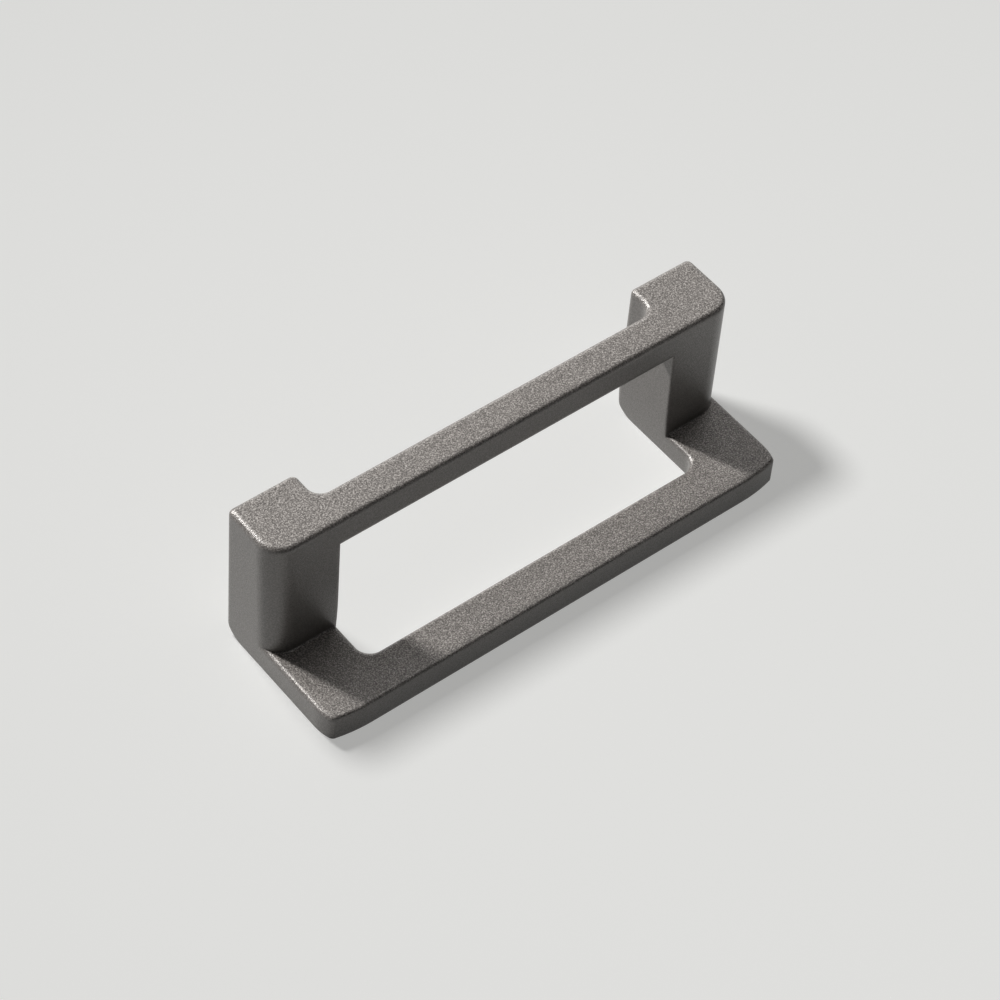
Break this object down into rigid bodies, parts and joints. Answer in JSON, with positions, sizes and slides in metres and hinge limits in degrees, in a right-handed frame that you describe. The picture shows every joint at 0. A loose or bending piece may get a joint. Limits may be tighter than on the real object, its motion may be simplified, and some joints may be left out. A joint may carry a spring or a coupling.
{
  "type": "frame pull handle",
  "caption": "Cast pull handle for a drawer or door: a grip bar on posts, with feet that run forward to a lower bar, fixed by screws from behind.",
  "frame": {"origin": "midway between the two tapped holes, on the flat underside that meets the drawer or door", "axes": "+X along the handle, -Y towards the lower bar (the front), +Z away from the mounting plane"},
  "size_m": [0.11, 0.0338, 0.036],
  "materials": {
    "textured_paint": "fine sandy metallic paint, warm dark grey"
  },
  "bodies": {
    "root": {"handle_frame": "textured_paint"}
  },
  "joints": []
}
